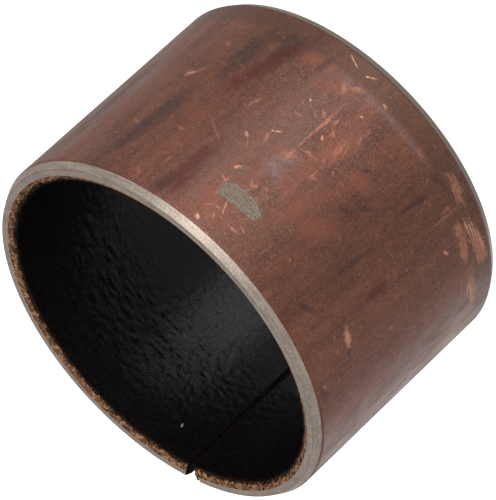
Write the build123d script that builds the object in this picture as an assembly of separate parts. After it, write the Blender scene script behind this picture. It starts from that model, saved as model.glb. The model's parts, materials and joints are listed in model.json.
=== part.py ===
from build123d import *
import os

# A wrapped plain bearing bush: a flat strip of four bonded layers, rolled into a
# sleeve whose two ends meet at an open butt joint. From the outside in, the layers
# are a copper flash, a steel backing, sintered porous bronze and a polymer lining.
#
# Frame: millimetres. +Z runs along the bore, the origin is the centre of the lower
# end face, and the split lies on +X.

# Driving dimensions of the finished bush
bore_diameter = 16.0
outer_diameter = 18.0
bush_length = 12.25

# The layers of the strip; the steel takes up what the other three leave
plating_thickness = 0.05
bronze_thickness = 0.35
lining_thickness = 0.08

# Each end is turned: a lead-in chamfer outside, and a break at the bore that is cut
# back just as far as the steel, so that it shows the bronze and the lining edge on
outer_chamfer_along_axis = 0.44
outer_chamfer_in_radius = 0.25
bore_break_along_axis = 0.245

# The sheared ends of the strip lean apart towards the outside
split_gap_at_bore = 0.34
split_gap_at_outside = 0.78

# Radii where one layer or one turned surface gives way to the next
bore_radius = bore_diameter / 2
outer_radius = outer_diameter / 2
bronze_inner_radius = bore_radius + lining_thickness
steel_inner_radius = bronze_inner_radius + bronze_thickness
steel_outer_radius = outer_radius - plating_thickness
face_outer_radius = outer_radius - outer_chamfer_in_radius


def end_setback(radius):
    """How far the turned end surface lies below the flat end face, at this radius."""
    if radius < steel_inner_radius:
        share = (steel_inner_radius - radius) / (steel_inner_radius - bore_radius)
        return bore_break_along_axis * share
    if radius > face_outer_radius:
        share = (radius - face_outer_radius) / outer_chamfer_in_radius
        return outer_chamfer_along_axis * share
    return 0.0


def layer_sleeve(inside, outside):
    """A closed sleeve between two radii, with both ends turned to the bush's shape."""
    radii = [inside, outside]
    if inside < face_outer_radius < outside:
        radii.insert(1, face_outer_radius)
    lower_edge = [(radius, end_setback(radius)) for radius in radii]
    upper_edge = [(radius, bush_length - setback) for radius, setback in reversed(lower_edge)]
    section = make_face(Polyline(*lower_edge, *upper_edge, close=True))
    return revolve(Plane.XZ * section, Axis.Z)


def split_wedge():
    """The space between the strip's two ends: a prism that widens outwards along +X."""
    widening_per_mm = (split_gap_at_outside - split_gap_at_bore) / (outer_radius - bore_radius)
    overrun = 0.5
    near_x = bore_radius - overrun
    far_x = outer_radius + overrun
    half_near = (split_gap_at_bore - widening_per_mm * overrun) / 2
    half_far = (split_gap_at_outside + widening_per_mm * overrun) / 2
    outline = Polyline(
        (near_x, -half_near),
        (far_x, -half_far),
        (far_x, half_far),
        (near_x, half_near),
        close=True,
    )
    return extrude(make_face(outline), amount=bush_length)


def build_bush():
    """Return the four layers of the strip by name, each with the split cut through."""
    layer_radii = {
        "copper_plating": (steel_outer_radius, outer_radius),
        "steel_backing": (steel_inner_radius, steel_outer_radius),
        "sintered_bronze_layer": (bronze_inner_radius, steel_inner_radius),
        "polymer_lining": (bore_radius, bronze_inner_radius),
    }
    split = split_wedge()
    return {name: layer_sleeve(*radii) - split for name, radii in layer_radii.items()}


os.makedirs("parts", exist_ok=True)
for node_name, layer in build_bush().items():
    layer.label = node_name
    export_step(layer, f"parts/{node_name}.step")
    print(node_name, "volume", round(layer.volume, 3), "mm3")
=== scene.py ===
import json
import math
from functools import cached_property

import bmesh
import bpy
import numpy as np
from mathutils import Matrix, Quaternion, Vector


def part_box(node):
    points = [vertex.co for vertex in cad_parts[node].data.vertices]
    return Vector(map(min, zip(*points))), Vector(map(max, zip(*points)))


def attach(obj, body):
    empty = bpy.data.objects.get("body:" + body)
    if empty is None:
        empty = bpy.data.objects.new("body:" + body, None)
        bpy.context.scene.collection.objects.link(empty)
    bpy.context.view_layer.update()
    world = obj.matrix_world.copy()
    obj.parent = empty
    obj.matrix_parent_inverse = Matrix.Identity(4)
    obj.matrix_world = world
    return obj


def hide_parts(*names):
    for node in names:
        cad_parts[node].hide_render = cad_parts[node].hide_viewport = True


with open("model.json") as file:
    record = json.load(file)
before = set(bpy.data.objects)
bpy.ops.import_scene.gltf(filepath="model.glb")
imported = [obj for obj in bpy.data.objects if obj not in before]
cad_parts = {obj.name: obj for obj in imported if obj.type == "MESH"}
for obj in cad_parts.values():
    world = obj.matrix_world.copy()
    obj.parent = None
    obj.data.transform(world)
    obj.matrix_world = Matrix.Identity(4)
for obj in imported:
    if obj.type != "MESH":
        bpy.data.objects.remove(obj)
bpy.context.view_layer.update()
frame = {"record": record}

# ---------------------------------------------------------------------------
# Sizes, in millimetres, read from the frame. The bush stands on its lower end
# face, its bore is along Z, and the split in its wall is on +X.
# ---------------------------------------------------------------------------

MM = 0.001


def mount_radius(name):
    """The radius of one of the record's round mounts, in millimetres."""
    return next(m["dims"]["r_mm"] for m in frame["record"]["mounts"] if m["name"] == name)


def outer_radius_of(node):
    """The outside radius of a sleeve, taken along -X, away from the split."""
    return -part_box(node)[0].x / MM


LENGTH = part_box("steel_backing")[1].z / MM
BORE_RADIUS = mount_radius("bore")
OUTER_RADIUS = mount_radius("outer_seat")
LINING_OUTER = outer_radius_of("polymer_lining")
BRONZE_OUTER = outer_radius_of("sintered_bronze_layer")
STEEL_OUTER = outer_radius_of("steel_backing")

# The turned ends and the split, as the bush's drawing gives them
OUTER_CHAMFER_IN_RADIUS = 0.25
OUTER_CHAMFER_ALONG_AXIS = 0.44
BORE_BREAK_ALONG_AXIS = 0.245
FACE_OUTER = OUTER_RADIUS - OUTER_CHAMFER_IN_RADIUS
SPLIT_HALF_AT_BORE = 0.17
SPLIT_HALF_AT_OUTSIDE = 0.39


def end_setback(radius):
    """How far the turned end lies below the flat end face, at each radius."""
    inside = BORE_BREAK_ALONG_AXIS * (BRONZE_OUTER - radius) / (BRONZE_OUTER - BORE_RADIUS)
    outside = OUTER_CHAMFER_ALONG_AXIS * (radius - FACE_OUTER) / OUTER_CHAMFER_IN_RADIUS
    return np.maximum(0.0, np.maximum(inside, outside))


def split_half_width(radius):
    """Half the width of the split, which opens towards the outside."""
    share = (radius - BORE_RADIUS) / (OUTER_RADIUS - BORE_RADIUS)
    return SPLIT_HALF_AT_BORE + share * (SPLIT_HALF_AT_OUTSIDE - SPLIT_HALF_AT_BORE)


# ---------------------------------------------------------------------------
# Random fields, all seeded
# ---------------------------------------------------------------------------

NOISE_CELLS = 1024
OCTAVES = 3
OCTAVE_DIVISOR = 1.6
GRAIN_CELLS = 512
SMALLEST_GRAIN = 0.55
LARGEST_GRAIN = 0.95


def eased(share):
    """A fraction from 0 to 1 that starts and stops gently."""
    return share * share * (3 - 2 * share)


def value_noise(u, v, seed):
    """A smooth random field between -1 and 1 with one lattice cell per unit."""
    table = np.random.default_rng(seed).uniform(-1.0, 1.0, (NOISE_CELLS, NOISE_CELLS))
    left = np.floor(u).astype(int)
    low = np.floor(v).astype(int)
    across = eased(u - left)
    up = eased(v - low)

    def side(step):
        """The field along the lower (0) or the upper (1) side of each cell."""
        row = (low + step) % NOISE_CELLS
        start = table[left % NOISE_CELLS, row]
        end = table[(left + 1) % NOISE_CELLS, row]
        return start * (1 - across) + end * across

    return side(0) * (1 - up) + side(1) * up


def layered_noise(u, v, seed):
    """Value noise with finer and fainter copies laid over it, from about -1 to 1."""
    total = np.zeros_like(u)
    for octave in range(OCTAVES):
        total += value_noise(u * 2**octave, v * 2**octave, seed + octave) / 2**octave
    return total / OCTAVE_DIVISOR


def surface_noise(place, arc_cell, height_cell, seed):
    """Layered noise over an unrolled wall, with cells of so many millimetres."""
    return layered_noise(place["arc"] / arc_cell, place["height"] / height_cell, seed)


def grain_height(u, v, seed):
    """Packed round grains, one per unit cell: 1 on top of a grain, 0 in a pit."""
    size = (GRAIN_CELLS, GRAIN_CELLS)
    rng = np.random.default_rng(seed)
    shift_u = rng.uniform(0.0, 1.0, size)
    shift_v = rng.uniform(0.0, 1.0, size)
    bulk = rng.uniform(SMALLEST_GRAIN, LARGEST_GRAIN, size)
    left = np.floor(u).astype(int)
    low = np.floor(v).astype(int)
    best = np.zeros_like(u)
    for i in (-1, 0, 1):
        for j in (-1, 0, 1):
            a = (left + i) % GRAIN_CELLS
            b = (low + j) % GRAIN_CELLS
            gap = np.hypot(left + i + shift_u[a, b] - u, low + j + shift_v[a, b] - v)
            best = np.maximum(best, 1.0 - (gap / bulk[a, b]) ** 2)
    return best


# ---------------------------------------------------------------------------
# Meshes: every layer is a closed sleeve on a grid of angle, height and radius
# ---------------------------------------------------------------------------

# Edges sharper than this, in degrees, aren't smoothed
SHARP_ANGLE = 50.0


def fine_at_ends(middle, fine_count):
    """Adds a few closer steps at both ends of a row of fractions from 0 to 1."""
    step = middle[1] - middle[0]
    start = np.linspace(0.0, step, fine_count, endpoint=False)
    return np.concatenate([start, middle[1:-1], 1.0 - start[::-1]])


def focused(count, low, high, times):
    """Fractions from 0 to 1 that lie closer together, by so many times, from low to high."""
    weights = [0.0, low, low + times * (high - low), 1.0 + (times - 1.0) * (high - low)]
    return np.interp(np.linspace(0.0, weights[-1], count), weights, [0.0, low, high, 1.0])


def grid_faces(keys):
    """Quads over a two-way grid of vertex keys."""
    corners = (keys[:-1, :-1], keys[1:, :-1], keys[1:, 1:], keys[:-1, 1:])
    return np.stack(corners, -1).reshape(-1, 4).tolist()


def long_wall_faces(keys):
    """A hidden wall as one long strip per step of angle; the strips beside the split
    take in every vertex of the butt edge, so that the mesh closes."""
    strips = np.stack([keys[1:-2, 0], keys[2:-1, 0], keys[2:-1, -1], keys[1:-2, -1]], -1)
    first = list(keys[0, :]) + [keys[1, -1], keys[1, 0]]
    last = list(keys[-1, :]) + [keys[-2, -1], keys[-2, 0]]
    return strips.tolist() + [first, last]


def sleeve_faces(keys, dense):
    """The faces over vertex keys in order of angle, height and radius: the inner and
    outer walls, then the two ends, and last the two faces of the split."""
    faces = []
    for wall, layer in (("inner", keys[:, :, 0]), ("outer", keys[:, :, -1])):
        faces += grid_faces(layer) if wall in dense else long_wall_faces(layer)
    for layer in (keys[:, 0, :], keys[:, -1, :], keys[0, :, :], keys[-1, :, :]):
        faces += grid_faces(layer)
    return faces


def sleeve_places(step_a, step_h, step_r, around, along, radii):
    """Where the points of a smooth sleeve are, in radians and millimetres, and which of
    its faces they are on, from their steps of angle, height and radius."""
    radius = radii[step_r]
    setback = end_setback(radius)
    margin = np.arcsin(split_half_width(radius) / radius)
    angle = margin + (2 * math.pi - 2 * margin) * around[step_a]
    return {
        "radius": radius,
        "height": setback + (LENGTH - 2 * setback) * along[step_h],
        "angle": angle,
        "arc": angle * radius,
        "from_split": (angle - margin) * radius,
        "to_split": (2 * math.pi - margin - angle) * radius,
        "on_lower_end": step_h == 0,
        "on_upper_end": step_h == len(along) - 1,
        "on_inner": step_r == 0,
        "on_outer": step_r == len(radii) - 1,
        "on_butt": (step_a == 0) | (step_a == len(around) - 1),
        "butt_side": np.where(step_a == 0, 1.0, -1.0),
        "push_y": 0.0,
    }


def outward_normals(mesh):
    """Turns every face of a closed mesh outwards."""
    work = bmesh.new()
    work.from_mesh(mesh)
    bmesh.ops.recalc_face_normals(work, faces=work.faces)
    work.to_mesh(mesh)
    work.free()


def mesh_object(name, points, faces, painted_shade_faces, values):
    """A closed mesh as an object, smooth between its sharp edges. Its last faces, so
    many of them, take the second material, painted shade. values holds numbers for its points."""
    mesh = bpy.data.meshes.new(name)
    mesh.from_pydata(points.tolist(), [], faces)
    for polygon in mesh.polygons[-painted_shade_faces:]:
        polygon.material_index = 1
    for value_name, numbers in values.items():
        layer = mesh.attributes.new(value_name, "FLOAT", "POINT")
        layer.data.foreach_set("value", np.asarray(numbers, dtype=np.float32))
    piece = bpy.data.objects.new(name, mesh)
    bpy.context.scene.collection.objects.link(piece)
    outward_normals(mesh)
    mesh.polygons.foreach_set("use_smooth", [True] * len(mesh.polygons))
    mesh.set_sharp_from_angle(angle=math.radians(SHARP_ANGLE))
    return piece


def sleeve(name, radii, around, along, shape, dense=(), painted_shade_ends=False):
    """A closed split sleeve as an object. radii, around and along are the grid's radii
    and its fractions of angle and height, shape moves the points, and dense names the
    walls that keep the whole grid. The faces of the split, and the ends if asked for,
    take the second material, which paints them dark as shade."""
    counts = (len(around), len(along), len(radii))
    keys = np.arange(np.prod(counts)).reshape(counts)
    faces = sleeve_faces(keys, dense)
    used = np.unique(np.concatenate([np.asarray(face) for face in faces]))
    renumber = np.zeros(keys.size, dtype=int)
    renumber[used] = np.arange(len(used))

    place = sleeve_places(*np.unravel_index(used, counts), around, along, radii)
    values = shape(place)
    x = place["radius"] * np.cos(place["angle"])
    y = place["radius"] * np.sin(place["angle"]) + place["push_y"]
    points = np.stack([x, y, place["height"]], -1) * MM
    # the faces that take the painted shade: both faces of the split, and the ends if asked for
    painted_shade_faces = 2 * (counts[1] - 1) * (counts[2] - 1)
    if painted_shade_ends:
        painted_shade_faces += 2 * (counts[0] - 1) * (counts[2] - 1)
    numbered = [renumber[np.asarray(face)].tolist() for face in faces]
    return mesh_object(name, points, numbered, painted_shade_faces, values)


def end_sign(place):
    """+1 on the lower end and -1 on the upper one: the way into the metal there."""
    return place["on_lower_end"].astype(float) - place["on_upper_end"].astype(float)


# ---------------------------------------------------------------------------
# The shape of each layer. Lengths and depths are in millimetres, angles in
# degrees round the bush from the split.
# ---------------------------------------------------------------------------

# The patch where the plating is worn through: its place, size and outline, which
# narrows towards one end
PATCH_ANGLE = 149.6
PATCH_HEIGHT = 9.58
PATCH_HALF_ARC = 1.16
PATCH_HALF_HEIGHT = 0.47
PATCH_TAPER = 0.55
PATCH_TAPER_START = -0.25
PATCH_NARROWEST = 0.35
PATCH_SLANT = 0.1
PATCH_RAGGEDNESS = 0.12

# The relief of the plating, in and out of the worn patch
WAVE_DEPTH = 0.006
SKIN_DEPTH = 0.0015
WORN_DEPTH = 0.022
WORN_ROUGHNESS = 0.006
WORN_EDGE_WIDTH = 0.08


def patch_distance(place):
    """How far outside the worn patch's ragged outline a point is."""
    along_arc = (place["angle"] - math.radians(PATCH_ANGLE)) * OUTER_RADIUS
    up = place["height"] - PATCH_HEIGHT
    narrowed = 1.0 + PATCH_TAPER * (along_arc - PATCH_TAPER_START) / PATCH_HALF_ARC
    taper = np.clip(narrowed, PATCH_NARROWEST, 1.0)
    beyond = np.maximum(np.abs(along_arc) - (PATCH_HALF_ARC - PATCH_HALF_HEIGHT), 0.0)
    ragged = PATCH_RAGGEDNESS * surface_noise(place, 0.30, 0.22, seed=31)
    outline = np.hypot(beyond, up - PATCH_SLANT * (1.0 - taper))
    return outline - PATCH_HALF_HEIGHT * taper + ragged


def shape_plating(place):
    """Slight handling waves, pits and the worn patch, all of them inwards."""
    waves = WAVE_DEPTH * (1 + surface_noise(place, 3.0, 4.0, seed=11))
    skin = SKIN_DEPTH * (1 + surface_noise(place, 0.2, 0.3, seed=12))
    gap = patch_distance(place)
    worn = np.clip(0.5 - gap / WORN_EDGE_WIDTH, 0.0, 1.0)
    rough = WORN_ROUGHNESS * surface_noise(place, 0.12, 0.12, seed=13)
    inward = waves + skin + worn * (WORN_DEPTH + rough)
    place["radius"] = place["radius"] - np.where(place["on_outer"], inward, 0.0)
    return {"patch_gap": gap}


# Fine and coarse turning lines, the groove between chamfer and face, and the corner
TURNING_DEPTH = 0.0014
TURNING_OFFSET = 1.6
COARSE_TURNING_SHARE = 0.6
GROOVE_DEPTH = 0.010
GROOVE_HALF_WIDTH = 0.014
GROOVE_INSIDE_EDGE = 0.012
SPLIT_CORNER_RADIUS = 0.24


def shape_steel(place):
    """Turning lines round the ends, a fine groove between chamfer and face, and the
    corner beside the split rounded off on the upper end."""
    radius = place["radius"]
    turn = value_noise(radius / 0.018, place["arc"] / 9.0, seed=21)
    turn += COARSE_TURNING_SHARE * value_noise(radius / 0.045, place["arc"] / 5.0, seed=22)
    off_groove = (radius - FACE_OUTER + GROOVE_INSIDE_EDGE) / GROOVE_HALF_WIDTH
    groove = np.exp(-(off_groove**2))
    short_of = np.clip(1.0 - place["from_split"] / SPLIT_CORNER_RADIUS, 0.0, 1.0)
    rounding = SPLIT_CORNER_RADIUS * (1.0 - np.sqrt(1.0 - short_of**2))
    depth = TURNING_DEPTH * (TURNING_OFFSET + turn) + GROOVE_DEPTH * groove
    depth = depth + np.where(place["on_upper_end"], rounding, 0.0)
    place["height"] = place["height"] + end_sign(place) * depth
    return {"groove": groove}


# Grain size, how much closer the grains lie across the wall, and how far away in the
# pattern the lower end and the two faces of the split are taken from
GRAIN = 0.115
CLOSER_ACROSS = 1.15
LOWER_END_SHIFT = 97.0
BUTT_SHIFT = 31.0
# The height between the grains below which a pit opens, and how deep the pits are
PIT_LEVEL = 0.55
PIT_DEPTH = 0.075
PIT_SHARE_AT_RIM = 0.2
PIT_SHARE_IN_SPLIT = 0.8


def shape_bronze(place):
    """Sintered grains cut flat by the turning tool, with open pits between them."""
    on_end = place["on_lower_end"] | place["on_upper_end"]
    across = place["radius"] * CLOSER_ACROSS / GRAIN
    across_end = across + LOWER_END_SHIFT * place["on_lower_end"]
    across_butt = across + BUTT_SHIFT * place["butt_side"]
    end_grain = grain_height(place["arc"] / GRAIN, across_end, seed=41)
    butt_grain = grain_height(place["height"] / GRAIN, across_butt, seed=42)
    grain = np.where(on_end, end_grain, np.where(place["on_butt"], butt_grain, 1.0))
    pit = np.clip(1.0 - grain / PIT_LEVEL, 0.0, 1.0)
    at_rim = place["on_inner"] | place["on_outer"]
    depth = np.where(at_rim, PIT_SHARE_AT_RIM, 1.0) * PIT_DEPTH * pit
    inside_split = place["on_butt"] & ~on_end
    place["height"] = place["height"] + end_sign(place) * depth
    place["push_y"] = inside_split * place["butt_side"] * depth * PIT_SHARE_IN_SPLIT
    return {"pit": pit}


# The lining's wrinkles are roughest at one height and one angle (in degrees), over so
# many millimetres and radians to either side, and fade out towards its edges
WRINKLE_DEPTH = 0.021
WRINKLE_SHARPNESS = 2.4
SWELL_DEPTH = 0.008
WANDER = 0.25
ROUGHEST_HEIGHT = 7.7
ROUGH_HEIGHT_REACH = 1.6
LEAST_ROUGH_BY_HEIGHT = 0.25
ROUGHEST_ANGLE = 318.0
ROUGH_ANGLE_REACH = 0.66
LEAST_ROUGH_BY_ANGLE = 0.50
LEAST_AT_EDGES = 0.1
END_FADE_START = 0.16
END_FADE = 0.8
SPLIT_FADE = 0.3


def peak(distance, reach, least):
    """1 at a distance of 0, sinking to the least value beyond the reach."""
    return least + (1.0 - least) * np.exp(-((distance / reach) ** 2))


def shape_lining(place):
    """The leathery wrinkles of the rolled-in polymer, stronger towards the open end."""
    height = place["height"]
    wander = WANDER * surface_noise(place, 0.8, 0.8, seed=54)
    wrinkles = layered_noise(place["arc"] / 0.46 + wander, height / 0.28 + wander, seed=51)
    ridges = 1.0 - WRINKLE_SHARPNESS * np.abs(wrinkles)
    swell = SWELL_DEPTH * surface_noise(place, 2.6, 2.2, seed=52)
    from_roughest = place["angle"] - math.radians(ROUGHEST_ANGLE)
    from_roughest = (from_roughest + math.pi) % (2 * math.pi) - math.pi
    zone = peak(height - ROUGHEST_HEIGHT, ROUGH_HEIGHT_REACH, LEAST_ROUGH_BY_HEIGHT)
    zone = zone * peak(from_roughest, ROUGH_ANGLE_REACH, LEAST_ROUGH_BY_ANGLE)
    to_end = np.minimum(height, LENGTH - height)
    to_split = np.minimum(place["from_split"], place["to_split"])
    fade = np.clip((to_end - END_FADE_START) / END_FADE, LEAST_AT_EDGES, 1.0)
    fade = fade * np.clip(to_split / SPLIT_FADE, LEAST_AT_EDGES, 1.0)
    outward = (WRINKLE_DEPTH * zone * ridges + swell) * fade
    place["radius"] = place["radius"] + np.where(place["on_inner"], outward, 0.0)
    return {}


def build_layers():
    """The four layers of the wrapped strip as detailed sleeves. The numbers of steps
    keep each of them below 200,000 triangles."""
    patch_around = PATCH_ANGLE / 360.0
    patch_along = PATCH_HEIGHT / LENGTH
    plating = sleeve(
        "copper_plating_skin",
        np.array([STEEL_OUTER, OUTER_RADIUS]),
        fine_at_ends(focused(640, patch_around - 0.03, patch_around + 0.03, times=2.0), 5),
        fine_at_ends(focused(140, patch_along - 0.05, patch_along + 0.05, times=2.0), 3),
        shape_plating,
        dense=("outer",),
    )
    steel = sleeve(
        "steel_backing_strip",
        np.linspace(BRONZE_OUTER, STEEL_OUTER, 52),
        fine_at_ends(np.linspace(0.0, 1.0, 720), 16),
        fine_at_ends(np.linspace(0.0, 1.0, 40), 8),
        shape_steel,
    )
    bronze = sleeve(
        "sintered_bronze_grains",
        np.linspace(LINING_OUTER, BRONZE_OUTER, 15),
        np.linspace(0.0, 1.0, 1800),
        fine_at_ends(np.linspace(0.0, 1.0, 330), 8),
        shape_bronze,
    )
    lining = sleeve(
        "polymer_lining_skin",
        np.array([BORE_RADIUS, (BORE_RADIUS + LINING_OUTER) / 2, LINING_OUTER]),
        fine_at_ends(np.linspace(0.0, 1.0, 580), 6),
        fine_at_ends(np.linspace(0.0, 1.0, 150), 4),
        shape_lining,
        dense=("inner",),
        # the lining's ends take the painted shade of the split faces too
        painted_shade_ends=True,
    )
    return plating, steel, bronze, lining


# ---------------------------------------------------------------------------
# Materials
# ---------------------------------------------------------------------------

class Recipe:
    """Short names for adding nodes to one material, and the places on the bush that its
    nodes start from, in millimetres."""

    def __init__(self, name):
        self.material = bpy.data.materials.new(name)
        self.material.use_nodes = True
        self.tree = self.material.node_tree
        self.shader = self.tree.nodes["Principled BSDF"]

    @cached_property
    def here(self):
        """The point itself."""
        coords = self.tree.nodes.new("ShaderNodeTexCoord").outputs["Object"]
        return self.vector("MULTIPLY", coords, (1.0 / MM, 1.0 / MM, 1.0 / MM))

    @cached_property
    def axes(self):
        """The point's x, y and z."""
        parts = self.tree.nodes.new("ShaderNodeSeparateXYZ")
        self.link(self.here, parts.inputs[0])
        return tuple(parts.outputs)

    @cached_property
    def height(self):
        """The height above the lower end."""
        return self.axes[2]

    @cached_property
    def radius(self):
        """The distance from the bore's axis."""
        return self.vector("LENGTH", self.combine(self.axes[0], self.axes[1], 0.0))

    @cached_property
    def arc(self):
        """The distance round the outside, 0 opposite the split."""
        backwards = [self.math("MULTIPLY", axis, -1.0) for axis in self.axes[:2]]
        return self.math("MULTIPLY", self.math("ARCTAN2", backwards[1], backwards[0]), OUTER_RADIUS)

    @cached_property
    def flat(self):
        """The unrolled outside: arc and height as one point."""
        return self.combine(self.arc, self.height, 0.0)

    def link(self, value, socket):
        """Connects a node's output to a socket, or sets a plain value on it."""
        if isinstance(value, bpy.types.NodeSocket):
            self.tree.links.new(value, socket)
        else:
            socket.default_value = value

    def feed(self, name, value):
        """Gives the surface one of its properties: a plain value or a node's output."""
        self.link(value, self.shader.inputs[name])

    def calculate(self, kind, values, operation=None):
        """Adds a node of a kind and fills its first inputs in order."""
        node = self.tree.nodes.new(kind)
        if operation is not None:
            node.operation = operation
        for value, socket in zip(values, node.inputs):
            self.link(value, socket)
        return node

    def math(self, operation, *values):
        """A calculation with plain numbers."""
        return self.calculate("ShaderNodeMath", values, operation).outputs[0]

    def product(self, first, *others):
        """Several numbers multiplied together."""
        for other in others:
            first = self.math("MULTIPLY", first, other)
        return first

    def centred(self, noise, reach):
        """A noise from 0 to 1 turned into one about 0, with so much from end to end."""
        return self.math("MULTIPLY_ADD", noise, reach, -reach / 2)

    def vector(self, operation, *values):
        """A calculation with vectors, which gives a number for LENGTH."""
        node = self.calculate("ShaderNodeVectorMath", values, operation)
        return node.outputs["Value" if operation == "LENGTH" else "Vector"]

    def combine(self, x, y, z):
        """A vector from three numbers."""
        return self.calculate("ShaderNodeCombineXYZ", (x, y, z)).outputs[0]

    def noise(self, where, scale, detail, roughness):
        """Noise from 0 to 1, with so many cells per unit of where."""
        node = self.tree.nodes.new("ShaderNodeTexNoise")
        self.link(where, node.inputs["Vector"])
        node.inputs["Scale"].default_value = scale
        node.inputs["Detail"].default_value = detail
        node.inputs["Roughness"].default_value = roughness
        return node.outputs["Fac"]

    def noises(self, rows):
        """Noises by name. Each row gives the name, how much of the height counts (less
        than 1 draws the noise out along the bore), the scale, detail and roughness."""
        fields = {}
        for name, height_share, scale, detail, roughness in rows:
            where = self.vector("MULTIPLY", self.here, (1.0, 1.0, height_share))
            fields[name] = self.noise(where, scale, detail, roughness)
        return fields

    def cells(self, where):
        """Voronoi cells: the distance to the nearest point, and that cell's colour."""
        node = self.tree.nodes.new("ShaderNodeTexVoronoi")
        self.link(where, node.inputs["Vector"])
        node.inputs["Scale"].default_value = 1.0
        return node.outputs["Distance"], node.outputs["Color"]

    def remap(self, value, low, high, to_low=0.0, to_high=1.0):
        """Maps low..high to to_low..to_high smoothly, and holds it outside."""
        node = self.calculate("ShaderNodeMapRange", (value, low, high, to_low, to_high))
        node.interpolation_type = "SMOOTHSTEP"
        return node.outputs[0]

    def blend(self, share, first, second):
        """Mixes two colours."""
        node = self.tree.nodes.new("ShaderNodeMix")
        node.data_type = "RGBA"
        self.link(share, node.inputs[0])
        for value, socket in ((first, node.inputs[6]), (second, node.inputs[7])):
            self.link((*value, 1.0) if isinstance(value, tuple) else value, socket)
        return node.outputs[2]

    def between(self, field, low, high, first, second):
        """The first colour where a field is low, the second where it is high."""
        return self.blend(self.remap(field, low, high), first, second)

    def lay_over(self, base, fields, layers):
        """Tints a colour, layer after layer. Each layer gives the name of a field, where
        in its range the layer starts and ends, its share of the colour at the start and
        at the end, and its own colour."""
        for name, start, end, share_at_start, share_at_end, tint in layers:
            share = self.remap(fields[name], start, end, share_at_start, share_at_end)
            base = self.blend(share, base, tint)
        return base

    def attribute(self, name):
        """One of the mesh's own values."""
        node = self.tree.nodes.new("ShaderNodeAttribute")
        node.attribute_name = name
        return node.outputs["Fac"]

    def bump(self, height, distance, below=None):
        """Relief of so many millimetres, laid over the relief below it."""
        node = self.tree.nodes.new("ShaderNodeBump")
        node.inputs["Strength"].default_value = 1.0
        node.inputs["Distance"].default_value = distance * MM
        self.link(height, node.inputs["Height"])
        if below is not None:
            self.link(below, node.inputs["Normal"])
        return node.outputs[0]


# ---------------------------------------------------------------------------
# Marks, listed one by one. Each runs from one point to another, given as degrees
# round the bush from the split and millimetres up it, and ends with its half
# width in millimetres. The flecks are in the bore, the rest on the outside.
# ---------------------------------------------------------------------------

PALE_NICKS = [
    ((163.4, 6.85), (162.7, 6.95), 0.07),
    ((158.7, 6.08), (158.4, 6.04), 0.030),
    ((157.6, 5.97), (157.2, 5.91), 0.055),
    ((158.0, 8.55), (157.4, 8.45), 0.07),
    ((155.4, 11.52), (154.7, 11.62), 0.09),
    ((152.7, 10.10), (151.2, 10.65), 0.030),
    ((147.9, 4.72), (147.4, 4.82), 0.055),
    ((157.9, 3.68), (157.5, 3.74), 0.045),
    ((145.1, 2.72), (144.6, 2.67), 0.045),
    ((143.0, 1.47), (142.3, 1.53), 0.055),
    ((159.4, 0.68), (155.9, 0.95), 0.032),
    ((152.2, 1.10), (151.2, 0.95), 0.045),
    ((151.4, 0.98), (150.0, 0.85), 0.035),
    ((99.6, 3.00), (98.7, 2.88), 0.070),
    ((102.9, 1.40), (98.2, 1.37), 0.040),
    ((102.3, 1.24), (96.5, 1.20), 0.036),
    ((101.2, 1.08), (94.6, 1.00), 0.036),
    ((97.0, 0.88), (90.5, 0.80), 0.060),
    ((103.2, 9.28), (99.6, 9.40), 0.14),
    ((101.5, 9.42), (99.9, 9.38), 0.13),
    ((192.9, 5.38), (191.8, 5.20), 0.10),
    ((226.0, 8.90), (224.6, 9.10), 0.06),
    ((258.0, 3.40), (257.2, 3.30), 0.07),
    ((304.0, 6.70), (302.8, 6.45), 0.05),
    ((331.0, 9.80), (330.2, 9.90), 0.07),
    ((28.0, 5.10), (27.3, 5.25), 0.06),
    ((61.0, 8.10), (59.5, 8.40), 0.04),
]

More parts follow.
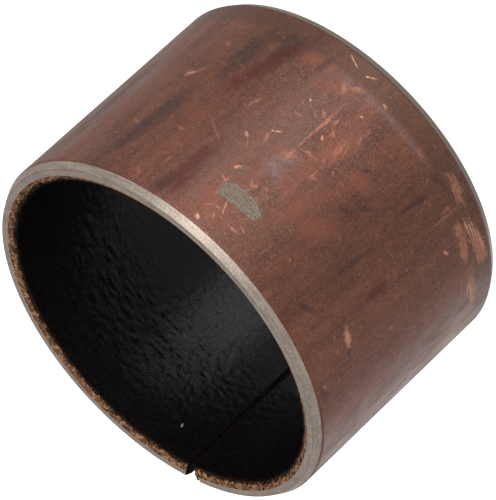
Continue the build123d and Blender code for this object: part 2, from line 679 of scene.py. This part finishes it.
COPPER_NICKS = [
    ((150.75, 6.1), (150.5, 3.0), 0.050),
    ((150.60, 5.2), (150.4, 3.3), 0.070),
    ((150.10, 4.4), (150.0, 3.7), 0.030),
    ((193.7, 5.2), (190.7, 5.12), 0.10),
    ((192.3, 5.5), (189.6, 4.75), 0.05),
    ((162.3, 7.0), (160.1, 7.4), 0.040),
    ((158.9, 6.2), (158.2, 6.6), 0.070),
    ((159.5, 9.2), (156.3, 9.45), 0.05),
    ((102.3, 1.38), (98.9, 1.33), 0.05),
    ((101.0, 1.22), (95.5, 1.10), 0.05),
    ((99.0, 1.05), (92.0, 0.92), 0.06),
    ((93.5, 0.80), (89.6, 0.92), 0.12),
    ((146.9, 10.90), (144.6, 10.88), 0.08),
    ((145.2, 10.53), (143.3, 10.66), 0.04),
    ((155.7, 10.85), (155.2, 10.7), 0.06),
    ((156.5, 10.1), (155.8, 9.95), 0.07),
    ((153.8, 10.6), (152.8, 10.58), 0.06),
    ((152.5, 10.95), (152.2, 11.1), 0.05),
    ((157.2, 9.65), (157.0, 9.1), 0.06),
    ((152.3, 8.55), (150.8, 8.85), 0.07),
    ((151.0, 8.95), (150.5, 8.6), 0.09),
    ((148.3, 8.42), (147.5, 8.45), 0.05),
    ((147.7, 8.7), (145.7, 8.65), 0.03),
    ((151.2, 6.5), (149.4, 6.35), 0.12),
    ((150.6, 6.2), (150.3, 6.7), 0.08),
    ((149.2, 5.85), (144.7, 5.7), 0.05),
    ((147.9, 5.75), (146.6, 5.72), 0.09),
    ((142.6, 6.55), (140.6, 6.4), 0.08),
    ((142.4, 6.2), (142.0, 6.6), 0.07),
    ((143.2, 5.45), (142.7, 5.55), 0.06),
    ((139.1, 5.55), (138.8, 5.65), 0.05),
    ((147.3, 4.15), (146.4, 4.3), 0.08),
    ((147.0, 4.5), (146.5, 4.1), 0.05),
    ((148.4, 3.6), (148.2, 3.95), 0.08),
    ((154.3, 4.05), (153.9, 4.15), 0.06),
    ((153.1, 3.75), (152.1, 3.9), 0.08),
    ((157.9, 4.65), (156.2, 4.6), 0.06),
    ((141.6, 4.1), (140.3, 4.75), 0.05),
    ((142.9, 4.0), (141.5, 5.3), 0.06),
    ((143.6, 4.3), (142.6, 5.0), 0.05),
    ((140.9, 3.3), (140.4, 3.7), 0.06),
    ((140.7, 2.9), (140.3, 3.2), 0.05),
    ((154.3, 2.05), (153.2, 2.4), 0.13),
    ((152.2, 1.95), (150.7, 1.78), 0.13),
    ((168.9, 5.45), (168.6, 5.65), 0.07),
    ((168.5, 5.35), (168.1, 5.15), 0.09),
    ((170.3, 5.72), (167.8, 5.85), 0.04),
    ((171.4, 7.5), (167.0, 7.95), 0.04),
    ((179.2, 8.3), (177.4, 8.38), 0.08),
    ((173.7, 10.1), (173.2, 9.9), 0.06),
    ((177.6, 11.2), (176.8, 11.35), 0.09),
    ((193.9, 8.65), (191.3, 8.88), 0.07),
    ((191.4, 3.0), (190.4, 3.1), 0.11),
    ((109.7, 2.35), (109.4, 1.9), 0.07),
    ((108.3, 3.0), (108.0, 1.8), 0.06),
    ((110.0, 2.0), (109.8, 1.85), 0.05),
    ((93.3, 7.1), (92.8, 6.9), 0.07),
    ((94.6, 11.4), (93.4, 11.3), 0.08),
    ((100.4, 10.05), (99.6, 10.1), 0.06),
    ((104.8, 10.0), (103.9, 9.97), 0.05),
    ((130.1, 9.85), (129.4, 9.92), 0.05),
    ((127.4, 1.7), (126.0, 1.75), 0.10),
    ((221.5, 6.2), (218.7, 6.6), 0.05),
    ((223.8, 5.4), (223.1, 5.1), 0.08),
    ((247.0, 9.7), (243.5, 9.4), 0.04),
    ((263.5, 5.9), (263.1, 4.3), 0.06),
    ((286.0, 8.8), (284.6, 9.1), 0.07),
    ((309.2, 3.5), (306.0, 3.9), 0.05),
    ((327.4, 7.3), (326.9, 6.4), 0.06),
    ((16.0, 7.7), (13.2, 8.0), 0.05),
    ((36.5, 3.6), (35.6, 3.4), 0.08),
    ((47.0, 9.9), (44.1, 9.7), 0.04),
    ((68.3, 6.0), (67.6, 6.2), 0.07),
]

SCRAPES = [
    ((114.3, 1.05), (111.0, 1.05), 0.27),
    ((111.5, 1.15), (107.2, 1.13), 0.17),
    ((103.0, 1.85), (100.5, 1.80), 0.20),
    ((99.5, 1.85), (93.4, 1.95), 0.26),
    ((99.0, 1.30), (92.0, 1.00), 0.28),
    ((93.0, 1.05), (89.2, 0.95), 0.36),
    ((83.6, 1.95), (75.4, 1.75), 0.22),
    ((252.0, 1.75), (244.0, 1.60), 0.22),
    ((308.5, 10.60), (302.5, 10.75), 0.20),
    ((42.0, 1.90), (35.0, 1.70), 0.20),
]

WARM_PATCHES = [
    ((169.5, 2.0), (163.0, 1.9), 0.35),
    ((158.0, 2.7), (153.5, 2.2), 0.35),
    ((139.5, 9.2), (137.0, 6.4), 0.45),
    ((142.5, 5.2), (141.0, 3.9), 0.40),
    ((132.5, 8.3), (128.5, 7.4), 0.50),
    ((135.5, 5.0), (130.0, 4.8), 0.35),
    ((152.0, 6.6), (148.0, 6.2), 0.30),
    ((157.5, 10.2), (154.5, 10.8), 0.40),
    ((216.0, 4.4), (211.0, 2.6), 0.45),
    ((279.0, 9.4), (275.5, 7.0), 0.50),
    ((345.5, 9.2), (342.0, 5.2), 0.40),
    ((31.0, 4.6), (25.5, 2.8), 0.50),
    ((67.0, 9.6), (63.0, 7.2), 0.45),
]

DARK_STAINS = [
    ((190.2, 11.5), (186.6, 6.6), 0.42),
    ((183.8, 5.0), (182.0, 1.3), 0.45),
    ((174.8, 2.6), (171.8, 1.6), 0.40),
    ((182.0, 2.0), (174.0, 1.5), 0.35),
    ((169.4, 11.4), (167.8, 10.7), 0.35),
    ((162.9, 2.2), (162.4, 1.5), 0.16),
    ((133.9, 4.4), (133.0, 4.2), 0.10),
    ((131.0, 6.4), (129.0, 6.3), 0.12),
    ((126.5, 5.6), (124.5, 5.2), 0.14),
    ((117.9, 8.8), (116.6, 6.4), 0.16),
    ((118.0, 4.0), (116.8, 2.5), 0.12),
    ((118.9, 1.75), (115.6, 1.5), 0.22),
    ((118.0, 10.6), (115.6, 10.4), 0.12),
    ((99.3, 9.5), (95.8, 9.58), 0.10),
    ((213.8, 10.8), (212.4, 5.0), 0.16),
    ((234.0, 9.4), (231.5, 2.6), 0.20),
    ((268.0, 11.2), (264.5, 7.9), 0.30),
    ((300.0, 8.1), (296.0, 1.4), 0.28),
    ((334.5, 5.6), (332.8, 1.5), 0.35),
    ((20.5, 6.7), (18.2, 1.6), 0.30),
    ((50.5, 10.9), (46.6, 6.9), 0.26),
]

RED_STAINS = [
    ((167.4, 10.9), (167.0, 8.6), 0.36),
    ((165.6, 11.5), (165.0, 9.9), 0.26),
    ((177.5, 5.2), (172.0, 2.0), 0.40),
    ((94.8, 11.5), (91.0, 11.45), 0.22),
    ((106.6, 7.6), (105.6, 6.5), 0.18),
    ((250.0, 4.8), (247.5, 2.2), 0.30),
    ((318.0, 5.1), (316.0, 2.0), 0.40),
    ((38.5, 10.4), (36.2, 6.8), 0.40),
]

LINING_FLECKS = [
    ((347.4, 10.66), (347.0, 10.53), 0.055),
]

BROWN_AREAS = [
    ((125.0, 10.6), (112.5, 1.6), 1.9),
]

# A lighter pink band: partly the copper's pink tone, partly painted highlight where the softbox
# reflects
ROSY_HIGHLIGHT_AREAS = [
    ((164.0, 11.0), (156.0, 2.2), 1.3),
]

LILAC_HAZE = [
    ((208.5, 9.8), (206.5, 4.2), 0.38),
    ((152.4, 7.2), (150.2, 7.5), 0.33),
    ((150.0, 7.0), (148.0, 6.4), 0.40),
    ((154.0, 1.75), (126.0, 1.7), 0.22),
]


# Random nicks, in four sets: their turn in degrees, the size of the cells they lie in,
# and how few of the cells hold one
NICK_LAYERS = [
    (72.0, (0.60, 0.18), 0.80),
    (-28.0, (0.45, 0.15), 0.84),
    (12.0, (0.32, 0.12), 0.86),
    (88.0, (0.90, 0.12), 0.88),
]

# How far the random nicks reach from the middle of their cells, and how soft they are
LEAST_REACH = 0.08
REACH_SPREAD = 0.12
REACH_SOFTNESS = 0.05
CHOICE_SOFTNESS = 0.02

FURTHER_THAN_ANY_MARK = 9.0
NEVER_COUNTS = 1e6


def arc_at(degrees):
    """The unrolled arc of an angle round the bush: 0 opposite the split."""
    return math.radians(degrees - 180.0) * OUTER_RADIUS


def nearest_mark(recipe, arc, height, marks):
    """The distance to the nearest of some oval marks, with 1 on a mark's outline. The
    distance so far is the third coordinate, scaled down to nothing, so that the marks
    are worked out one after another and not all at once."""
    nearest = FURTHER_THAN_ANY_MARK
    for (start_angle, start_height), (end_angle, end_height), half_width in marks:
        start = Vector((arc_at(start_angle), start_height))
        end = Vector((arc_at(end_angle), end_height))
        middle = (start + end) / 2
        span = end - start
        half_length = span.length / 2 + half_width
        oval = recipe.tree.nodes.new("ShaderNodeMapping")
        oval.vector_type = "TEXTURE"
        recipe.link(recipe.combine(arc, height, nearest), oval.inputs["Vector"])
        oval.inputs["Location"].default_value = (middle.x, middle.y, 0.0)
        oval.inputs["Rotation"].default_value = (0.0, 0.0, math.atan2(span.y, span.x))
        oval.inputs["Scale"].default_value = (half_length, half_width, NEVER_COUNTS)
        nearest = recipe.math("MINIMUM", nearest, recipe.vector("LENGTH", oval.outputs[0]))
    return nearest


def random_nicks(recipe, arc, height, turn, cell, keep):
    """Short random nicks at one angle, a share of the cells of a stretched grid."""
    turned = recipe.tree.nodes.new("ShaderNodeMapping")
    recipe.link(recipe.combine(arc, height, 0.0), turned.inputs["Vector"])
    turned.inputs["Rotation"].default_value = (0.0, 0.0, math.radians(turn))
    turned.inputs["Scale"].default_value = (1.0 / cell[0], 1.0 / cell[1], 1.0)
    gap, colour = recipe.cells(turned.outputs[0])
    lot = recipe.calculate("ShaderNodeSeparateColor", (colour,))
    chosen = recipe.remap(lot.outputs[0], keep, keep + CHOICE_SOFTNESS)
    reach = recipe.math("MULTIPLY_ADD", lot.outputs[1], REACH_SPREAD, LEAST_REACH)
    beyond = recipe.math("SUBTRACT", gap, reach)
    near = recipe.remap(beyond, -REACH_SOFTNESS, REACH_SOFTNESS, 1.0, 0.0)
    return recipe.math("MULTIPLY", chosen, near)


# Rows of noises and layers of colour, as Recipe.noises and Recipe.lay_over take them

COPPER_NOISES = [
    ("streaks", 0.14, 0.9, 5.0, 0.62),
    ("fine_streaks", 0.14, 5.0, 3.0, 0.60),
    ("clouds", 1.0, 0.30, 4.0, 0.60),
    ("blots", 0.45, 1.3, 4.0, 0.65),
    ("scuffs", 1.0, 3.0, 5.0, 0.72),
    ("speckle", 1.0, 9.0, 3.0, 0.70),
    ("wander", 1.0, 4.5, 3.0, 0.60),
    ("grit", 1.0, 17.0, 2.0, 0.70),
    ("rough_edge", 1.0, 10.0, 3.0, 0.70),
    ("worn_grain", 1.0, 7.0, 3.0, 0.60),
]

COPPER_LAYERS = [
    ("clouds", 0.48, 0.62, 0.0, 0.70, (0.128, 0.056, 0.030)),
    ("blots", 0.55, 0.72, 0.0, 0.45, (0.240, 0.080, 0.046)),
    ("blots", 0.32, 0.44, 0.22, 0.0, (0.080, 0.036, 0.026)),
    ("fine_streaks", 0.52, 0.70, 0.0, 0.35, (0.260, 0.095, 0.058)),
    ("fine_streaks", 0.30, 0.46, 0.35, 0.0, (0.075, 0.033, 0.024)),
    ("scuffs", 0.50, 0.66, 0.0, 0.45, (0.290, 0.120, 0.080)),
    ("scuffs", 0.32, 0.45, 0.30, 0.0, (0.090, 0.040, 0.030)),
    ("speckle", 0.42, 0.66, 0.0, 0.42, (0.300, 0.128, 0.085)),
    # lighter pink band: partly pink tone, partly painted highlight
    ("rosy_highlight", 0.4, 1.6, 0.32, 0.0, (0.215, 0.110, 0.088)),
    ("brown", 0.4, 1.6, 0.36, 0.0, (0.092, 0.030, 0.012)),
    ("grit", 0.52, 0.74, 0.0, 0.38, (0.340, 0.165, 0.120)),
    ("grit", 0.30, 0.52, 0.60, 0.0, (0.055, 0.023, 0.016)),
    ("warm", 0.2, 1.5, 0.50, 0.0, (0.290, 0.092, 0.048)),
    ("dark", 0.3, 1.6, 0.58, 0.0, (0.050, 0.024, 0.024)),
    ("red", 0.3, 1.5, 0.72, 0.0, (0.108, 0.018, 0.013)),
    ("far_band", 1.35, 1.65, 0.45, 0.0, (0.090, 0.044, 0.028)),
]

STEEL_NOISES = [
    ("clouds", 1.0, 0.7, 3.0, 0.6),
    ("grain", 1.0, 11.0, 3.0, 0.7),
    ("scuffs", 1.0, 3.5, 4.0, 0.7),
]

STEEL_LAYERS = [
    ("clouds", 0.42, 0.70, 0.0, 0.50, (0.36, 0.285, 0.235)),
    ("scuffs", 0.50, 0.66, 0.0, 0.50, (0.68, 0.590, 0.520)),
    ("grain", 0.32, 0.58, 0.62, 0.0, (0.30, 0.242, 0.200)),
    ("groove", 0.1, 0.9, 0.0, 0.6, (0.16, 0.115, 0.085)),
    # painted shade: darker olive on the lower chamfer, towards the lower end
    ("height", 0.3, 0.7, 0.66, 0.0, (0.20, 0.17, 0.12)),
]

SPLIT_FACE_LAYERS = [
    ("specks", 0.58, 0.72, 0.0, 0.7, (0.080, 0.036, 0.018)),
]

BRONZE_NOISES = [
    ("grain_tone", 1.0, 5.5, 4.0, 0.70),
    ("dull", 1.0, 2.4, 4.0, 0.70),
    ("smear", 1.0, 3.2, 4.0, 0.65),
]

BRONZE_LAYERS = [
    ("dull", 0.42, 0.56, 0.60, 0.0, (0.180, 0.088, 0.044)),
    ("pit", 0.10, 0.55, 0.0, 1.0, (0.020, 0.010, 0.006)),
    ("from_lining", LINING_OUTER - 0.18, LINING_OUTER - 0.08, 0.97, 0.0, (0.018, 0.010, 0.007)),
]

LINING_NOISES = [
    ("peel", 1.0, 3.2, 4.0, 0.60),
    ("fine", 1.0, 11.0, 2.0, 0.60),
    ("pores", 1.0, 6.0, 3.0, 0.65),
]

LINING_LAYERS = [
    ("fleck", 0.7, 1.1, 0.9, 0.0, (0.45, 0.44, 0.43)),
]


def pushed_about(recipe, wander, other_wander, arc_reach, height_reach):
    """The place on the unrolled outside, pushed about by two noises."""
    arc = recipe.math("ADD", recipe.arc, recipe.centred(wander, arc_reach))
    height = recipe.math("ADD", recipe.height, recipe.centred(other_wander, height_reach))
    return arc, height


def copper_fields(recipe):
    """What the look of the copper is mixed from, by name: noises, and the distances to
    the placed marks, whose outlines are softened, frayed or torn."""
    fields = recipe.noises(COPPER_NOISES)
    wander = fields["wander"]
    elsewhere = recipe.vector("ADD", recipe.here, (40.0, 0.0, 0.0))
    other_wander = recipe.noise(elsewhere, 4.5, 3.0, 0.6)
    scratched = recipe.vector("MULTIPLY", recipe.flat, (0.8, 5.5, 1.0))
    torn_edge = recipe.centred(recipe.noise(scratched, 1.6, 4.0, 0.7), 3.6)
    soft_edge = recipe.centred(fields["blots"], 2.6)
    mottled_edge = recipe.math("ADD", soft_edge, recipe.centred(fields["scuffs"], 2.0))
    frayed_edge = recipe.centred(fields["rough_edge"], 3.0)

    straight = (recipe.arc, recipe.height)
    bent = pushed_about(recipe, wander, other_wander, 0.20, 0.20)
    torn = pushed_about(recipe, wander, other_wander, 0.8, 0.5)
    placed = [
        # the lighter pink band, partly painted highlight
        ("rosy_highlight", ROSY_HIGHLIGHT_AREAS, straight, soft_edge),
        ("brown", BROWN_AREAS, straight, soft_edge),
        ("warm", WARM_PATCHES, bent, soft_edge),
        ("dark", DARK_STAINS, bent, soft_edge),
        ("red", RED_STAINS, bent, soft_edge),
        ("haze", LILAC_HAZE, straight, mottled_edge),
        ("scrape", SCRAPES, torn, torn_edge),
        ("copper_nick", COPPER_NICKS, bent, frayed_edge),
        ("pale_nick", PALE_NICKS, bent, frayed_edge),
    ]
    for name, marks, (arc, height), edge in placed:
        fields[name] = recipe.math("ADD", nearest_mark(recipe, arc, height, marks), edge)
    fields["random_nicks"] = [random_nicks(recipe, *bent, *layer) for layer in NICK_LAYERS]
    fields["far_band"] = recipe.math("MULTIPLY_ADD", soft_edge, 0.25, recipe.height)
    gap = recipe.attribute("patch_gap")
    fields["patch_gap"] = recipe.math("MULTIPLY_ADD", frayed_edge, 0.025, gap)
    return fields


def copper_material():
    """Tarnished copper flash: streaks along the axis, stains, haze, a lighter pink band that is
    partly painted highlight, bright scuffs and the patch where the plating is worn to the steel."""
    r = Recipe("tarnished_copper_flash")
    fields = copper_fields(r)
    streaks, clouds, blots = (fields[name] for name in ("streaks", "clouds", "blots"))
    scuffs, speckle, gap = (fields[name] for name in ("scuffs", "speckle", "patch_gap"))

    hazy = r.product(
        r.remap(fields["haze"], 0.0, 1.6, 0.60, 0.0),
        r.remap(fields["grit"], 0.35, 0.60, 0.50, 1.0),
        r.remap(scuffs, 0.40, 0.60, 0.35, 1.0),
    )
    scraped = r.product(
        r.remap(fields["scrape"], 0.5, 1.3, 1.0, 0.0),
        r.remap(speckle, 0.35, 0.60, 0.55, 0.95),
    )
    nicked = r.product(
        r.remap(fields["copper_nick"], 0.1, 1.5, 0.95, 0.0),
        r.remap(scuffs, 0.34, 0.56, 0.35, 1.0),
    )
    pale = r.remap(fields["pale_nick"], 0.1, 1.6, 0.92, 0.0)
    thick = r.remap(clouds, 0.35, 0.6, 0.2, 1.0)
    worn = r.remap(gap, -0.05, 0.03, 1.0, 0.0)
    rim = r.remap(r.math("ABSOLUTE", gap), 0.0, 0.07, 0.4, 0.0)
    brushed = r.noise(r.vector("MULTIPLY", r.flat, (1.2, 4.0, 1.0)), 4.0, 4.0, 0.7)
    steel_tone = r.between(brushed, 0.38, 0.62, (0.145, 0.108, 0.078), (0.275, 0.212, 0.155))

    base = r.between(streaks, 0.38, 0.64, (0.128, 0.043, 0.026), (0.218, 0.068, 0.036))
    base = r.lay_over(base, fields, COPPER_LAYERS)
    base = r.blend(hazy, base, (0.250, 0.185, 0.190))
    base = r.blend(scraped, base, (0.500, 0.215, 0.130))
    base = r.blend(nicked, base, (0.440, 0.180, 0.115))
    for mask in fields["random_nicks"]:
        base = r.blend(r.product(mask, thick, 0.55), base, (0.400, 0.185, 0.130))
    base = r.blend(pale, base, (0.720, 0.355, 0.232))
    base = r.blend(worn, base, steel_tone)
    base = r.blend(rim, base, (0.260, 0.170, 0.120))

    bright = r.math("MAXIMUM", r.math("MAXIMUM", scraped, nicked), pale)
    relief = r.math("SUBTRACT", speckle, r.product(bright, 0.8))
    worn_relief = r.bump(r.product(worn, fields["worn_grain"]), 0.05, below=r.bump(relief, 0.008))
    r.feed("Base Color", base)
    r.feed("Metallic", r.remap(bright, 0.2, 0.9, 0.35, 0.75))
    r.feed("Roughness", r.remap(blots, 0.3, 0.7, 0.36, 0.50))
    r.feed("Sheen Weight", 0.11)
    r.feed("Sheen Roughness", 0.35)
    r.feed("Sheen Tint", (1.0, 0.80, 0.80, 1.0))
    r.feed("Normal", r.bump(scuffs, 0.012, below=worn_relief))
    return r.material


def steel_material():
    """Bare turned steel with fine lines round the ends, and painted shade on the lower end."""
    r = Recipe("turned_bare_steel")
    fields = r.noises(STEEL_NOISES)
    fields["groove"] = r.attribute("groove")
    # the height drives the painted shade on the lower end
    fields["height"] = r.height
    turned = r.combine(r.product(r.arc, 0.05), r.radius, r.product(r.height, 0.8))
    rings = r.noise(turned, 16.0, 4.0, 0.65)
    base = r.between(rings, 0.30, 0.70, (0.44, 0.358, 0.300), (0.68, 0.565, 0.485))
    r.feed("Base Color", r.lay_over(base, fields, STEEL_LAYERS))
    r.feed("Metallic", 0.85)
    r.feed("Roughness", r.remap(rings, 0.3, 0.7, 0.32, 0.46))
    r.feed("Normal", r.bump(rings, 0.004, below=r.bump(fields["grain"], 0.005)))
    return r.material


def split_face_material():
    """The faces of the split, painted near-black brown as the shade that falls in the narrow split,
    with bronze grains showing through.
    """
    r = Recipe("split_face_painted_shade")
    specks = r.noise(r.here, 7.0, 3.0, 0.65)
    # painted shade: the split faces' near-black browns, mottled at random by this noise
    stains = r.noise(r.here, 1.5, 3.0, 0.6)
    base = r.between(stains, 0.35, 0.65, (0.006, 0.003, 0.002), (0.015, 0.007, 0.004))
    r.feed("Base Color", r.lay_over(base, {"specks": specks}, SPLIT_FACE_LAYERS))
    r.feed("Roughness", 0.85)
    r.feed("Specular IOR Level", 0.02)
    r.feed("Normal", r.bump(specks, 0.02))
    return r.material


def bronze_material():
    """Sintered bronze: warm flat-topped grains, dark pits, and polymer smeared over the
    edge beside the lining."""
    r = Recipe("sintered_bronze")
    fields = r.noises(BRONZE_NOISES)
    fields["pit"] = r.attribute("pit")
    fields["from_lining"] = r.math("MULTIPLY_ADD", fields["smear"], -0.50, r.radius)
    grain_tone = fields["grain_tone"]
    base = r.between(grain_tone, 0.38, 0.66, (0.230, 0.104, 0.050), (0.84, 0.440, 0.225))
    r.feed("Base Color", r.lay_over(base, fields, BRONZE_LAYERS))
    r.feed("Specular IOR Level", 0.15)
    r.feed("Metallic", 0.45)
    r.feed("Roughness", 0.52)
    r.feed("Normal", r.bump(grain_tone, 0.02))
    return r.material


def lining_material():
    """Near-black polymer with a dull sheen on its orange peel."""
    r = Recipe("dark_polymer_lining")
    fields = r.noises(LINING_NOISES)
    fields["fleck"] = nearest_mark(r, r.arc, r.height, LINING_FLECKS)
    peel = fields["peel"]
    fine = fields["fine"]
    pores = r.remap(fields["pores"], 0.60, 0.72)
    base = r.between(peel, 0.35, 0.7, (0.0036, 0.0026, 0.0028), (0.0064, 0.0050, 0.0053))
    roughness = r.math("MULTIPLY_ADD", pores, 0.25, r.remap(fine, 0.3, 0.7, 0.20, 0.34))
    r.feed("Base Color", r.lay_over(base, fields, LINING_LAYERS))
    r.feed("IOR", 1.325)
    r.feed("Roughness", roughness)
    r.feed("Normal", r.bump(fine, 0.004, below=r.bump(peel, 0.02)))
    return r.material


def floor_material():
    """A white sweep, lit evenly from within so that it holds no shadow."""
    r = Recipe("pale_floor")
    here = r.tree.nodes.new("ShaderNodeTexCoord").outputs["Object"]
    tone = r.noise(here, 3.0, 2.0, 0.5)
    r.feed("Base Color", r.between(tone, 0.3, 0.7, (0.80, 0.80, 0.80), (0.83, 0.83, 0.83)))
    r.feed("Roughness", 0.9)
    r.feed("Specular IOR Level", 0.1)
    r.feed("Emission Color", (1.0, 1.0, 1.0, 1.0))
    r.feed("Emission Strength", 0.9)
    return r.material


# ---------------------------------------------------------------------------
# Stage, light and camera. Lights and floor are in metres, angles in degrees.
# ---------------------------------------------------------------------------

FLOOR_HALF_WIDTH = 1.5


def make_floor():
    """A wide pale floor under the bush, which lets light past to the open lower end."""
    corners = [(-1, -1), (1, -1), (1, 1), (-1, 1)]
    mesh = bpy.data.meshes.new("floor")
    points = [(FLOOR_HALF_WIDTH * x, FLOOR_HALF_WIDTH * y, 0.0) for x, y in corners]
    mesh.from_pydata(points, [], [(0, 1, 2, 3)])
    floor = bpy.data.objects.new("floor", mesh)
    bpy.context.scene.collection.objects.link(floor)
    mesh.materials.append(floor_material())
    floor.visible_diffuse = False
    floor.visible_glossy = False
    floor.visible_shadow = False


def direction(azimuth, elevation):
    """The unit vector towards an azimuth (from +X) and a height above the horizon."""
    a = math.radians(azimuth)
    e = math.radians(elevation)
    return Vector((math.cos(e) * math.cos(a), math.cos(e) * math.sin(a), math.sin(e)))


def make_softbox(name, azimuth, elevation, distance, width, tall, radiance):
    """A soft rectangular light that faces the bush, given by its brightness."""
    data = bpy.data.lights.new(name, "AREA")
    data.shape = "RECTANGLE"
    data.size = width
    data.size_y = tall
    data.energy = radiance * math.pi * width * tall
    light = bpy.data.objects.new(name, data)
    away = direction(azimuth, elevation)
    light.location = away * distance + Vector((0.0, 0.0, LENGTH / 2 * MM))
    light.rotation_mode = "QUATERNION"
    light.rotation_quaternion = away.to_track_quat("Z", "Y")
    light.visible_camera = False
    bpy.context.scene.collection.objects.link(light)


def make_world(strength):
    """Even white surroundings."""
    world = bpy.data.worlds.new("studio")
    world.use_nodes = True
    back = world.node_tree.nodes["Background"]
    back.inputs["Color"].default_value = (1.0, 1.0, 1.0, 1.0)
    back.inputs["Strength"].default_value = strength
    bpy.context.scene.world = world


# The camera: angles in degrees, distance, lens, sensor and shifts in millimetres, and
# what it can see in metres
CAMERA_AZIMUTH = 139.4
CAMERA_ELEVATION = 29.1
CAMERA_ROLL = -132.75
CAMERA_DISTANCE = 214.9
CAMERA_LENS = 356.75
CAMERA_SENSOR = 36.0
CAMERA_SHIFT_RIGHT = 0.048
CAMERA_SHIFT_UP = 0.025
CAMERA_NEAREST = 0.01
CAMERA_FURTHEST = 10.0


def make_camera():
    """A long lens that looks down at the upper end, rolled so that the bush lies on
    its side in the picture."""
    data = bpy.data.cameras.new("camera")
    data.sensor_width = CAMERA_SENSOR
    data.lens = CAMERA_LENS
    data.clip_start = CAMERA_NEAREST
    data.clip_end = CAMERA_FURTHEST
    camera = bpy.data.objects.new("camera", data)
    away = direction(CAMERA_AZIMUTH, CAMERA_ELEVATION)
    turn = away.to_track_quat("Z", "Y") @ Quaternion((0.0, 0.0, 1.0), math.radians(CAMERA_ROLL))
    shift = turn @ Vector((CAMERA_SHIFT_RIGHT, CAMERA_SHIFT_UP, CAMERA_DISTANCE))
    camera.rotation_mode = "QUATERNION"
    camera.rotation_quaternion = turn
    camera.location = (Vector((0.0, 0.0, LENGTH / 2)) + shift) * MM
    bpy.context.scene.collection.objects.link(camera)
    bpy.context.scene.camera = camera


# ---------------------------------------------------------------------------
# The scene
# ---------------------------------------------------------------------------

# The material of painted shade, for the faces of the split and the lining's ends
SPLIT_FACES = split_face_material()


def dress(piece, node, material):
    """Puts a finished piece in a CAD node's place, on the one body."""
    piece.data.materials.append(material)
    piece.data.materials.append(SPLIT_FACES)
    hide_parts(node)
    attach(piece, "root")


plating, steel, bronze, lining = build_layers()
dress(plating, "copper_plating", copper_material())
dress(steel, "steel_backing", steel_material())
dress(bronze, "sintered_bronze_layer", bronze_material())
dress(lining, "polymer_lining", lining_material())

make_floor()
make_world(strength=0.49)
make_softbox(
    "softbox", azimuth=163.0, elevation=2.0, distance=0.35, width=0.28, tall=0.52, radiance=2.02
)
make_softbox(
    "table_fill", azimuth=2.0, elevation=-34.0, distance=0.35, width=0.28, tall=0.20, radiance=0.65
)
make_camera()
bpy.context.scene.view_settings.view_transform = "Standard"
